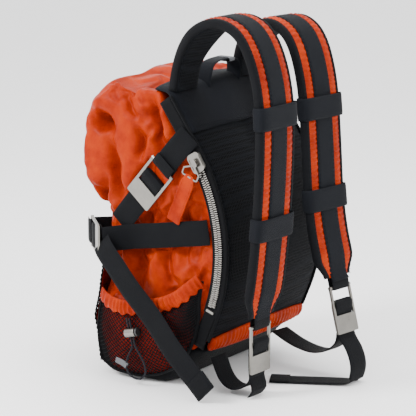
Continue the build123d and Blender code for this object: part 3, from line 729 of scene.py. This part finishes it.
def back_parts():
    """Spacer mesh, yoke, side walls, piping and the gathered orange trim under the back."""
    corner = 0.034

    def spacer_profile(share, run):
        missing = corner - math.sqrt(max(corner ** 2 - max(corner - run, 0) ** 2, 0)) if run < corner else 0
        edge = []
        for a, b in flat_profile(0.260 - 2 * missing, 0.006, 0.0035, 0.4, 24):
            channel = 0.0022 * math.exp(-(a / 0.018) ** 2) if b > 0 else 0
            edge.append((a, b - channel))
        return edge

    spacer = loft("spacer_back", back_line(0.0025, 0.064, 0.394), (-1, 0, 0), spacer_profile, "spacer")
    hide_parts("back_spacer_mesh", "back_foam", "frame_sheet")

    def yoke_profile(share, run):
        narrow = 1 - 0.07 * smoothstep(0.55, 1.0, share)
        return [(a * narrow, b + 0.0010 * math.sin(a * 60 + run * 30) * (b > 0))
                for a, b in flat_profile(0.262, 0.0072, 0.0048, 0.5, 24)]

    over = [Vector((0, y, z)) for y, z in ((-0.012, 0.4475), (0.000, 0.4490), (0.016, 0.4490))]
    yoke = loft("yoke_cover", smooth_line(back_line(0.0012, 0.390, 0.444) + over), (-1, 0, 0),
                yoke_profile, "yoke")
    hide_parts("yoke")
    for side, word in ((-1, "right"), (1, "left")):
        loft(f"{word}_back_wall", back_line(0.0125, 0.070, 0.436, side * 0.1312), (0, -1, 0),
             lambda share, run: flat_profile(0.021, 0.0022, 0.0004), "black")
        tube = loft(f"{word}_piping", back_line(0.0, 0.080, 0.444, side * 0.1305), (1, 0, 0),
                    tube_profile(0.0048, 0.0048), "black")
        modifier(tube, "SUBSURF", levels=1, render_levels=1)
    seam_z = 0.396
    seam = [Vector((lerp(-0.129, 0.129, k / 60), back_y(seam_z, -0.004), seam_z)) for k in range(61)]
    stitches("yoke_stitches", sections(seam, (0, 0, 1)), (0.004, 0.0006))

    def trim_profile(share, run):
        ends = 0.35 + 0.65 * math.sin(math.pi * min(max(share, 0.03), 0.97)) ** 0.3
        ring = []
        for a in turn(20):
            ruffle = 0.26 * math.sin(run * 690 + 1.2 * math.sin(run * 90))
            gather = 1 + ruffle * (0.4 + 0.6 * abs(math.cos(a)))
            ring.append((0.0165 * math.cos(a) * ends, 0.0058 * math.sin(a) * gather))
        return ring

    trim = [Vector((x, -0.0845 - 0.002 * math.cos(x * 14), 0.074)) for x in
            (lerp(-0.122, 0.122, k / 160) for k in range(161))]
    gathered = loft("bottom_gather", trim, (0, -0.42, 0.91), trim_profile, "orange")
    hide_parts("bottom_trim")


# ---------------------------------------------------------------- mesh pockets
POCKET_HEM = ((-0.076, 0.172), (-0.040, 0.137), (0.024, 0.119), (0.066, 0.114), (0.106, 0.126))
POCKET_FOOT = ((-0.070, 0.116), (-0.060, 0.074), (-0.036, 0.034), (0.020, 0.008), (0.084, 0.008),
               (0.110, 0.024))
HEM_GATHER = 760   # radians of ruffle to each metre of hem
FRONT_POCKET = ((0.118, 0.188), (0.136, 0.088), (0.127, 0.020), (0.100, 0.009))


def along(points, t):
    """A point at a share of a polyline's length."""
    points = [Vector(p) for p in points]
    lengths = [(b - a).length for a, b in zip(points, points[1:])]
    want = min(max(t, 0), 1) * sum(lengths)
    for a, b, length in zip(points, points[1:], lengths):
        if want <= length:
            return a + (b - a) * (want / length)
        want -= length
    return points[-1]


FINE_HEM = smooth_line([(y, z, 0) for y, z in POCKET_HEM], 0.003)
FINE_FOOT = smooth_line([(y, z, 0) for y, z in POCKET_FOOT], 0.003)


def pocket_place(side, sink=0.0):
    """The slack surface of a side pocket, from its foot up to its hem."""
    def place(u, v):
        foot, hem = along(FINE_FOOT, u), along(FINE_HEM, u)
        p = foot + (hem - foot) * v
        out = 0.0175 * (1 - abs(2 * u - 1) ** 5) * (1 - (1 - v) ** 3) + 0.003 * math.sin(math.pi * v)
        out += 0.004 * noise.noise(Vector((p.x * 30, p.y * 26, side * 2.0))) * math.sin(math.pi * u)
        forward = 0.006 * math.sin(math.pi * v) * smoothstep(0.7, 1, u)
        return Vector((side * (HALF + 0.0015 + out - sink), p.x + forward, p.y))
    return place


def front_place(sink=0.0):
    """The slack surface of the front pocket, from its foot up to its rim."""
    def place(u, v):
        p = along([(y, z, 0) for y, z in FRONT_POCKET], 1 - v)
        out = 0.005 * math.sin(math.pi * u) * math.sin(math.pi * v)
        out += 0.003 * noise.noise(Vector((u * 6, v * 5, 1.0)))
        edge = smoothstep(0.86, 1.0, abs(2 * u - 1))
        return Vector((lerp(-0.130, 0.130, u), p.x + out - sink - 0.010 * edge, p.y))
    return place


def net(name, columns, rows, place):
    """Open diamond netting with real holes."""
    bm = bmesh.new()
    verts = {}

    def vert(i, j):
        if (i, j) not in verts:
            verts[i, j] = bm.verts.new(place(min(max(i / columns, 0), 1), min(max(j / rows, 0), 1)))
        return verts[i, j]

    for i in range(1, columns):
        for j in range(1, rows):
            if (i + j) % 2:
                bm.faces.new((vert(i - 1, j), vert(i, j - 1), vert(i + 1, j), vert(i, j + 1)))
    piece = link(name, to_mesh(bm, name), "net")
    modifier(piece, "WIREFRAME", thickness=0.0021, use_even_offset=False)
    return piece


def tube_profile(width, thick):
    """Profile of an oval tube."""
    def profile(share, run):
        return [(width / 2 * math.cos(a), thick / 2 * math.sin(a)) for a in turn(10)]
    return profile


def pocket(side, word):
    """A side pocket: net, red lining, bound edge and gathered hem."""
    place = pocket_place(side)
    mesh = net(f"{word}_pocket_net", 60, 32, place)
    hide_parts(f"{word}_mesh_pocket")
    grid_surface(f"{word}_pocket_lining", 48, 26, pocket_place(side, 0.0032), "lining")
    edges = [place(0, v / 30) for v in range(30, 0, -1)] + [place(u / 80, 0) for u in range(81)]
    edges += [place(1, v / 30) for v in range(1, 31)]
    edge_line = smooth_line(edges, 0.004, 2)
    loft(f"{word}_pocket_binding", edge_line, (side, 0, 0), tube_profile(0.0075, 0.0042), "black")

    hem_line = [place(u / 260, 1) + Vector((side * 0.004, 0, 0.002)) for u in range(261)]

    def hem_profile(share, run):
        ring = []
        squeeze = 0.55 + 0.45 * math.sin(math.pi * min(max(share, 0.02), 0.98)) ** 0.4
        for a in turn(22):
            gather = math.sin(run * HEM_GATHER + 1.6 * math.sin(run * 120) + 0.8 * math.sin(a))
            channel = 0.0012 * math.exp(-((math.cos(a) - 0.25) / 0.16) ** 2)
            frill = 1 + 0.16 * math.sin(run * HEM_GATHER * 0.5 + 0.9) * max(-math.cos(a), 0)
            ring.append((0.0112 * math.cos(a) * frill,
                         (0.0046 + 0.0015 * gather - channel) * math.sin(a) * squeeze))
        return ring

    hem = loft(f"{word}_gathered_hem", hem_line, (0, 0, 1), hem_profile, "orange")
    modifier(hem, "SUBSURF", levels=1, render_levels=1)
    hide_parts(f"{word}_pocket_hem")


def pockets():
    """Both side pockets and the front one."""
    pocket(-1, "right")
    pocket(1, "left")
    front = net("front_pocket_net", 84, 56, front_place())
    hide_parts("front_mesh_pocket")
    grid_surface("front_pocket_lining", 60, 40, front_place(0.0035), "lining")
    rim = [front_place()(u / 80, 1) for u in range(81)]
    loft("front_pocket_rim", rim, (0, 0, 1), tube_profile(0.012, 0.0045), "black")


# ---------------------------------------------------------------- shoulder straps
STRAP_Y = -0.010
PAD_WIDE, ROOT_WIDE = 0.076, 0.050
PAD_COLUMNS = 26
BINDING_RISE = 0.0078   # top of the bound edges above the pad's middle; the webbing lies at the same height
# middle is in metres and turn in degrees.  Places are (outward from the back, height) in millimetres.
STRAPS = {
    "right": dict(middle=-0.096, turn=3, lock=(149, 111),
                  pad=((32, 520), (62, 550), (103, 560), (144, 539),
                       (172, 466), (175, 372), (166, 225), (150, 127)),
                  load=((145.8, 46), (142, 24), (114, 7), (88, 16), (72, 52)),
                  tail=((142.6, 46), (143, 30), (150, 14), (140, 3))),
    "left": dict(middle=0.071, turn=8, lock=(196.5, 146),
                 pad=((30, 510), (56, 533), (92, 541), (128, 519),
                      (150, 455), (158, 370), (166, 250), (192, 161)),
                 load=((207.5, 79.5), (206, 60), (170, 36), (120, 40), (78, 56)),
                 tail=((210.6, 80.4), (213, 70), (228, 54), (237, 30), (232, 8))),
}


def strap_frame(data):
    """(place(s, z), across) of a shoulder strap's own upright plane, s being outward from the back."""
    turn = math.radians(data["turn"])
    outward = Vector((-math.sin(turn), -math.cos(turn), 0))
    across = Vector((math.cos(turn), -math.sin(turn), 0))
    origin = Vector((data["middle"], STRAP_Y, 0))
    return (lambda s, z: origin + outward * s * MM + Vector((0, 0, z * MM))), across


def pad_width(share):
    """Half the pad's width: narrow at the root, full over the shoulder, rounded in at the end."""
    grow = lerp(ROOT_WIDE, PAD_WIDE, smoothstep(0.04, 0.17, share))
    return grow / 2 * (1 - 0.34 * smoothstep(0.945, 1.0, share))


def pad_thin(share):
    """Share of the pad's thickness that is left: it is stitched flat at its end."""
    return 1 - 0.55 * smoothstep(0.93, 1.0, share)


def shoulder_strap(word):
    """One padded strap with its bindings, webbing, keepers, root band, and webbing below the lock."""
    data = STRAPS[word]
    place, across = strap_frame(data)
    route = [place(6, 449.5), place(12, 486)] + [place(s, z) for s, z in data["pad"]]
    fine = smooth_line(route, 0.0018)
    coarse = smooth_line(route, 0.006)
    seed = 3.1 if word == "right" else 8.4

    def pad_profile(share, run):
        half = pad_width(share) - 0.002
        ring = []
        for k in range(PAD_COLUMNS + 1):
            a = lerp(-half, half, k / PAD_COLUMNS)
            stripe = math.exp(-((abs(a) - half * 0.70) / (half * 0.20)) ** 2)
            ruche = math.sin(run * 800 + 2.2 * math.sin(run * 70 + seed) + (a > 0) * 1.7)
            ring.append((a, (0.0058 + stripe * (0.0024 + 0.0011 * ruche)) * pad_thin(share)))
        for k in range(PAD_COLUMNS, -1, -1):
            a = lerp(-half, half, k / PAD_COLUMNS)
            ring.append((a, (-0.0050 - 0.0022 * (1 - (a / half) ** 2)) * pad_thin(share)))
        return ring

    pad = loft(f"{word}_pad", fine, across, pad_profile, "orange")
    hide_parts(f"{word}_strap_pad")

    def lining_profile(share, run):
        narrow = PAD_WIDE / 2
        return [(a * (pad_width(share) - 0.001) / narrow, b - 0.0072 * pad_thin(share))
                for a, b in flat_profile(PAD_WIDE, 0.0018, -0.0008, 0.5, 10)]

    loft(f"{word}_pad_lining", coarse, across, lining_profile, "spacer")
    cuts = sections(coarse, across)
    for sign, edge in ((-1, "inner"), (1, "outer")):
        def rim(share, run, sign=sign):
            middle = pad_width(share) - 0.0015
            ring = []
            for a in turn(16):
                groove = 1 - 0.14 * math.exp(-((math.cos(a) * sign - 0.1) / 0.25) ** 2)
                ring.append((sign * middle + 0.0056 * math.cos(a),
                             BINDING_RISE * math.sin(a) * groove * pad_thin(share)))
            return ring
        binding = loft(f"{word}_{edge}_binding", coarse, across, rim, "webbing")
        if sign < 0:
            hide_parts(f"{word}_strap_bindings")
        rows = []
        for p, way, out, run in cuts:
            share = run / cuts[-1][3]
            rows.append((p + way * sign * (pad_width(share) - 0.0028), way, out, run))
        stitches(f"{word}_{edge}_binding_stitches", rows, (0, BINDING_RISE), material="keeper")

    top = [p + out * (BINDING_RISE * pad_thin(run / cuts[-1][3])) for p, way, out, run in cuts]
    lock_s, lock_z = data["lock"]
    web_line = top + [place(lock_s + 4, lock_z + 11)]
    webbing = ribbon(f"{word}_shoulder_webbing", web_line, across, WEBBING, "keeper")
    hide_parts(f"{word}_strap_webbing")
    web_cuts = sections(smooth_line(web_line), across)
    for sign, edge in ((-1, "inner"), (1, "outer")):
        stitches(f"{word}_{edge}_webbing_stitches", web_cuts, (sign * 0.0160, 0.0013), material="black")

    for part, seg, share in (("upper", 4, 0.45), ("lower", 5, 0.75)):
        (s0, z0), (s1, z1) = data["pad"][seg], data["pad"][seg + 1]
        want = place(lerp(s0, s1, share), lerp(z0, z1, share))
        p, way, out, run = min(cuts, key=lambda c: (c[0] - want).length)
        tangent = way.cross(out) * -1
        ring = []
        for a in turn(64):
            ring.append(p + way * 0.0440 * squared(math.cos(a), 0.30)
                        + out * (0.0008 + 0.0112 * squared(math.sin(a), 0.55)))
        keeper = loft(f"{word}_{part}_keeper_band", ring, tangent,
                      lambda share, run: flat_profile(0.034, 0.0016, 0), "keeper", closed=True)
        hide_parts(f"{word}_{part}_keeper")

    root_line = [place(2, 440), place(6, 455), place(10, 484), place(26, 518), place(40, 534)]
    root = ribbon(f"{word}_root_band", root_line, across, 0.052, "webbing", thick=0.0045)
    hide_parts(f"{word}_strap_root")

    load = ribbon(f"{word}_load_webbing", [place(s, z) for s, z in data["load"]], across, WEBBING)
    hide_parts(f"{word}_lower_webbing")
    if word == "right":
        ribbon("right_tail_webbing", [place(s, z) for s, z in data["tail"]], across, WEBBING)
    else:
        floor = [Vector((0.0375, -0.236, 0.0034)), Vector((0.022, -0.205, 0.0024)),
                 Vector((-0.020, -0.123, 0.0022))]
        line = [place(s, z) for s, z in data["tail"]] + floor

        def turning(share):
            return across.lerp(Vector((0.88, 0.47, 0)), smoothstep(0.40, 0.75, share))

        ribbon("left_tail_webbing", line, turning, WEBBING)
        ribbon("left_tail_end", [Vector((-0.0065, -0.149, 0.0040)), Vector((-0.020, -0.123, 0.0040))],
               (0.88, 0.47, 0), 0.0385)


# ---------------------------------------------------------------- locks and webbing
# Name: pivot on the upper bar, the bar's direction, outward, body, and where the woven webbing ends (mm).
LOCKS = {
    "diagonal": ((-0.140, -0.0095, 0.336), (0, -0.7553, -0.6553), (-1, 0, 0), "diagonal_lock", -58),
    "corner": ((-0.113, 0.1425, 0.216), (0, 0, 1), (-0.7071, 0.7071, 0), "corner_lock", -66),
    "right": ((-0.103798, -0.158796, 0.111), (0.998630, -0.052336, 0), (-0.052336, -0.998630, 0),
              "right_lock", -66),
    "left": ((0.0436525, -0.204588, 0.146), (0.990268, -0.139173, 0), (-0.134431, -0.956526, 0.258819),
             "left_lock", -66),
}


def lock_webbing(name):
    """The webbing sewn round a lock's upper bar, and the webbing woven through its plate.

    Places are up the plate from the pivot and out from the bag, in millimetres.
    """
    origin, bar, outward, body, tail_end = LOCKS[name]
    origin, bar, outward = Vector(origin), Vector(bar), Vector(outward)
    up = outward.cross(bar)

    def at(y, z):
        return origin + up * y * MM + outward * z * MM

    sewn = ribbon(f"{name}_sewn_loop", [at(15, 3.9), at(-4.9, 4.3), at(-4.9, -4.3), at(15, -3.9)],
                  bar, WEBBING)
    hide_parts(f"{name}_bar_loop")
    woven = ribbon(f"{name}_woven_loop",
                   [at(tail_end, -3.2), at(-44, -3.2), at(-31, 3.4), at(-19.6, 3.6), at(-19.6, -6.9),
                    at(-40, -6.8), at(tail_end, -6.6)], bar, WEBBING, body=body)
    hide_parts(f"{name}_adjuster_loop")


def laid_off(start, way, steps):
    """Points at (distance along way, sideways shift in x) in millimetres from a start."""
    return [start + way * t * MM + Vector((x * MM, 0, 0)) for t, x in steps]


def folded_end(name, at, along_line, across, width=0.039, body="bag"):
    """The doubled end of a strap, with a row of stitches along each side."""
    at, along_line = Vector(at), Vector(along_line).normalized()
    ribbon(name, [at - along_line * 0.030, at], across, width, body=body, thick=0.0058)
    rows = sections([at - along_line * 0.026, at - along_line * 0.003], across)
    for k, shift in enumerate((-0.015, 0.015)):
        stitches(f"{name}_stitch_{k}", rows, (shift, 0.0031), body=body, material="grey")


def side_webbing():
    """Diagonal strap, compression strap round the bag and its hanging tail."""
    origin, bar = Vector(LOCKS["diagonal"][0]), Vector(LOCKS["diagonal"][1])
    up = Vector((0, -0.6553, 0.7553))
    upper = ribbon("diagonal_upper", laid_off(origin, up, ((12, 0), (40, 0), (58, 2.0), (70, 5.5))),
                   bar, WEBBING)
    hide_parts("diagonal_webbing_upper")
    lower = ribbon("diagonal_lower", laid_off(origin, up, ((-60, 3.0), (-80, 1.5), (-100, 2.0), (-125, 4.5))),
                   bar, WEBBING)
    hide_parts("diagonal_webbing_lower")

    run = Vector((0, -0.986, 0.166))
    start = Vector((-0.1372, 0.098, 0.216))
    steps = ((188, 4), (170, 0), (110, -1.5), (52, -1), (30, -10), (10, -21))
    right = ribbon("compression_right", laid_off(start, run, steps), (0, 0.166, 0.986), WEBBING, wave=0.0008)
    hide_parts("compression_webbing_right")
    front = ribbon("compression_front",
                   [(0.134, -0.086, 0.214), (0.1385, -0.02, 0.214), (0.1385, 0.121, 0.214),
                    (0.060, 0.121, 0.214), (-0.066, 0.121, 0.214), (-0.100, 0.151, 0.215)],
                   (0, 0, 1), WEBBING, wave=0.001, seed=1.0)
    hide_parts("compression_webbing_front")
    tail = ribbon("compression_tail_webbing",
                  [(-0.160, 0.090, 0.214), (-0.167, 0.079, 0.204), (-0.169, 0.040, 0.164),
                   (-0.1715, -0.015, 0.110), (-0.174, -0.062, 0.060), (-0.1745, -0.109, 0.017)],
                  (0, 0.70, -0.714), WEBBING, wave=0.0015)
    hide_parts("compression_tail")
    folded_end("compression_tail_end", (-0.1745, -0.1115, 0.0150), (-0.03, -0.714, -0.70), (0, 0.70, -0.714))


def haul_loop():
    """The flat loop at the top of the back, and the small keeper round it."""
    band = ribbon("haul_band", [(-0.040, -0.012, 0.444), (-0.039, -0.016, 0.466), (-0.030, -0.016, 0.482),
                                (0.030, -0.016, 0.482), (0.039, -0.016, 0.466), (0.040, -0.012, 0.444)],
                  (0, 1, 0), 0.025, "keeper", thick=0.003)
    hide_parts("haul_loop")
    ring = []
    for a in turn(40):
        ring.append(Vector((0.013, -0.016 + 0.0140 * squared(math.cos(a), 0.3),
                            0.4800 + 0.0030 * squared(math.sin(a), 0.6))))
    tag = loft("haul_tag", ring, (1, 0, 0), lambda share, run: flat_profile(0.014, 0.0009),
               "grey", closed=True)
    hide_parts("haul_keeper")


def pull_tab():
    """Folded, stitched tab of the bag's own nylon on the zip's wire pull."""
    pivot, way = Vector((-0.1407, -0.0584, 0.3278)), Vector((0, 0.3987, -0.9171))
    across = Vector((0, 0.9171, 0.3987))
    line = smooth_line([pivot - way * 0.004, pivot + way * 0.02, pivot + way * 0.05,
                        pivot + way * 0.077], 0.002)

    def profile(share, run):
        width = 0.024 * (0.62 + 0.38 * smoothstep(0, 0.2, share))
        lift = 0.0007 * math.sin(run * 260) * share
        return [(a, b + lift) for a, b in flat_profile(width, 0.0040, 0.0010, 0.5, 10)]

    tab = loft("pull_tab_fabric", line, across, profile, "orange", "zip_tab")
    modifier(tab, "SUBSURF", levels=1, render_levels=1)
    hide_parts("zip_pull_tab")
    cuts = sections(line, across)
    for k, shift in enumerate((-0.0085, 0.0085)):
        for face, lift in (("", 0.0026), ("back_", -0.0022)):
            stitches(f"pull_tab_stitch_{face}{k}", cuts[6:-2], (shift, lift), spacing=0.0028,
                     body="zip_tab", material="orange")


def dress(node, material, bevel=0.0):
    """Give a CAD node its finish, and soften its edges if asked to."""
    piece = bpy.data.objects[node]
    piece.data.materials.clear()
    piece.data.materials.append(MATERIALS[material])
    if bevel:
        modifier(piece, "WELD", merge_threshold=0.00001)
        modifier(piece, "BEVEL", width=bevel, segments=3, limit_method="ANGLE", angle_limit=math.radians(35),
                 harden_normals=True)


def hardware():
    """Finishes of the metal and plastic parts, which are shown as the CAD has them."""
    for name in LOCKS:
        dress(f"{name}_ladder_lock", "metal", 0.0006)
    dress("zip_slider", "metal", 0.0005)
    dress("zip_pull_ring", "metal")
    dress("zip_bottom_stop", "metal", 0.0003)
    dress("zip_teeth_rear", "teeth")
    dress("zip_teeth_front", "teeth")
    dress("zip_tape", "black")
    dress("cord_lock_barrel", "metal", 0.0005)
    dress("cord_lock_spring", "teeth")
    dress("cord_lock_plunger", "plastic", 0.0005)


# ---------------------------------------------------------------- stage and light
FLOOR_HALF = 6


def area(name, place, target, size, power):
    """A soft square lamp aimed at a point."""
    data = bpy.data.lights.new(name, "AREA")
    data.energy = power
    data.size = size
    lamp = bpy.data.objects.new(name, data)
    lamp.location = place
    lamp.rotation_euler = (Vector(place) - Vector(target)).to_track_quat("Z", "Y").to_euler()
    bpy.context.scene.collection.objects.link(lamp)


def studio():
    """Pale paper floor, white surroundings and three soft lamps."""
    mesh = bpy.data.meshes.new("floor")
    corners = ((-1, -1), (1, -1), (1, 1), (-1, 1))
    mesh.from_pydata([(x * FLOOR_HALF, y * FLOOR_HALF, 0) for x, y in corners], [], [(0, 1, 2, 3)])
    floor = bpy.data.objects.new("floor", mesh)
    mesh.materials.append(new_material("floor_paper", (0.93, 0.93, 0.935), 0.6)[0])
    bpy.context.scene.collection.objects.link(floor)
    world = bpy.data.worlds.new("studio")
    world.use_nodes = True
    world.node_tree.nodes["Background"].inputs["Color"].default_value = (1, 1, 1, 1)
    world.node_tree.nodes["Background"].inputs["Strength"].default_value = 2.0
    bpy.context.scene.world = world
    area("key", (-1.7, 0.9, 1.7), (0, 0, 0.25), 0.7, 80)
    area("fill", (-0.4, -2.4, 1.4), (0, 0, 0.25), 1.2, 30)
    area("top", (0.2, -0.2, 2.2), (0, 0, 0.2), 1.0, 34)


# ---------------------------------------------------------------- build
make_camera()
elastic_cord()
orange_body()
base_shell()
back_parts()
pockets()
for word in STRAPS:
    shoulder_strap(word)
for name in LOCKS:
    lock_webbing(name)
side_webbing()
haul_loop()
pull_tab()
hardware()
studio()
